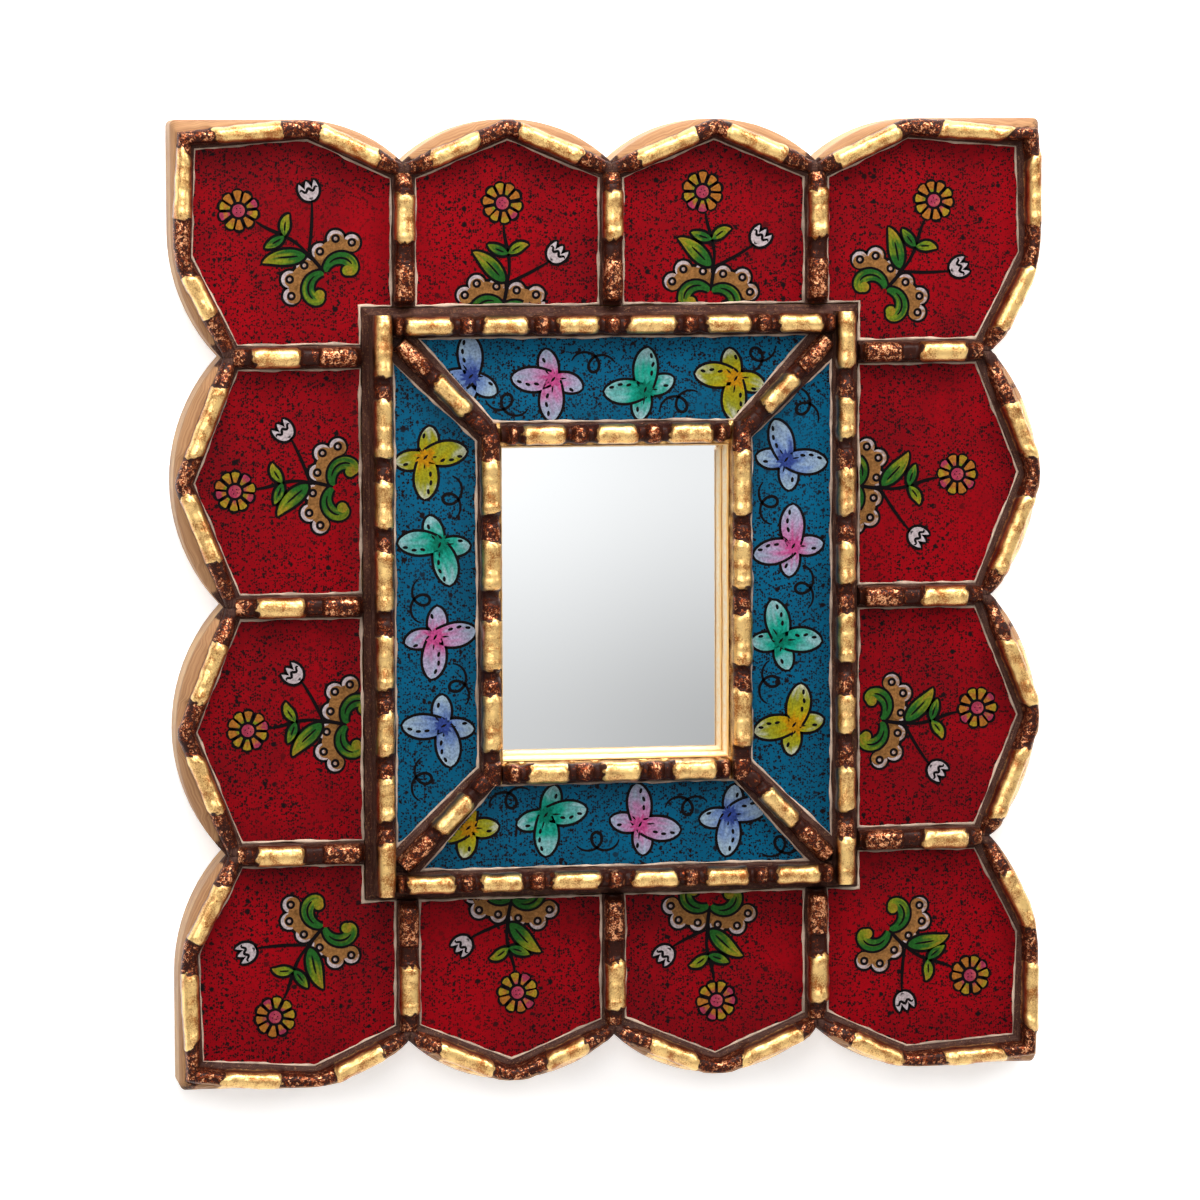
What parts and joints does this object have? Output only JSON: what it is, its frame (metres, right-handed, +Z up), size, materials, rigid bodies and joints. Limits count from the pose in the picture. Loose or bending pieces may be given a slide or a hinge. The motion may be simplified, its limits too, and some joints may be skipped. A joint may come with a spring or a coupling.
{
  "type": "wall mirror",
  "caption": "Small scalloped wall mirror framed with petals of reverse painted glass, gilded bead mouldings and a recessed hanging ring.",
  "frame": {"origin": "middle of the back, on the wall plane", "axes": "+X to the viewer's right, +Y back into the wall, +Z up; the front faces -Y"},
  "size_m": [0.228, 0.0235, 0.25],
  "materials": {
    "red_painted_glass": "glass painted on its back in deep red with fine black specks and flower sprigs",
    "blue_painted_glass": "glass painted on its back in deep blue with fine black specks and butterflies",
    "gilded_wood": "carved wood, gilded beads over dark bronze coloured patina",
    "board_wood": "cedar with a pale gold wash on the edge, bare on the back",
    "dark_wood": "wood with a dark brown patina",
    "mirror": "silvered glass",
    "packing_card": "plain brown card",
    "back_panel_board": "brown hardboard",
    "steel": "zinc plated steel"
  },
  "bodies": {
    "frame": {"back_panel": "back_panel_board", "back_panel_nails": "steel", "blue_glass_bottom": "blue_painted_glass", "blue_glass_left": "blue_painted_glass", "blue_glass_right": "blue_painted_glass", "blue_glass_top": "blue_painted_glass", "center_plinth": "dark_wood", "divider_bottom_left": "gilded_wood", "divider_bottom_middle": "gilded_wood", "divider_bottom_right": "gilded_wood", "divider_left_lower": "gilded_wood", "divider_left_middle": "gilded_wood", "divider_left_upper": "gilded_wood", "divider_right_lower": "gilded_wood", "divider_right_middle": "gilded_wood", "divider_right_upper": "gilded_wood", "divider_top_left": "gilded_wood", "divider_top_middle": "gilded_wood", "divider_top_right": "gilded_wood", "frame_board": "board_wood", "hanger_screws": "steel", "hanger_strap": "steel", "mirror_frame_bottom": "gilded_wood", "mirror_frame_left": "gilded_wood", "mirror_frame_right": "gilded_wood", "mirror_frame_top": "gilded_wood", "mirror_glass": "mirror", "mirror_packing": "packing_card", "mitre_strips": "gilded_wood", "panel_frame_bottom": "gilded_wood", "panel_frame_left": "gilded_wood", "panel_frame_right": "gilded_wood", "panel_frame_top": "gilded_wood", "red_glass_bottom_left": "red_painted_glass", "red_glass_bottom_right": "red_painted_glass", "red_glass_corner_bottom_left": "red_painted_glass", "red_glass_corner_bottom_right": "red_painted_glass", "red_glass_corner_top_left": "red_painted_glass", "red_glass_corner_top_right": "red_painted_glass", "red_glass_left_lower": "red_painted_glass", "red_glass_left_upper": "red_painted_glass", "red_glass_right_lower": "red_painted_glass", "red_glass_right_upper": "red_painted_glass", "red_glass_top_left": "red_painted_glass", "red_glass_top_right": "red_painted_glass", "rim_bottom_left": "gilded_wood", "rim_bottom_right": "gilded_wood", "rim_corner_bottom_left": "gilded_wood", "rim_corner_bottom_right": "gilded_wood", "rim_corner_top_left": "gilded_wood", "rim_corner_top_right": "gilded_wood", "rim_left_lower": "gilded_wood", "rim_left_upper": "gilded_wood", "rim_right_lower": "gilded_wood", "rim_right_upper": "gilded_wood", "rim_top_left": "gilded_wood", "rim_top_right": "gilded_wood"},
    "ring": {"hanger_ring": "steel"}
  },
  "joints": [
    {"name": "ring_swing", "type": "hinge", "parent": "frame", "child": "ring", "pos_m": [0, -0.00285, 0.086], "axis": [1, 0, 0], "range_deg": [0, 180]}
  ]
}
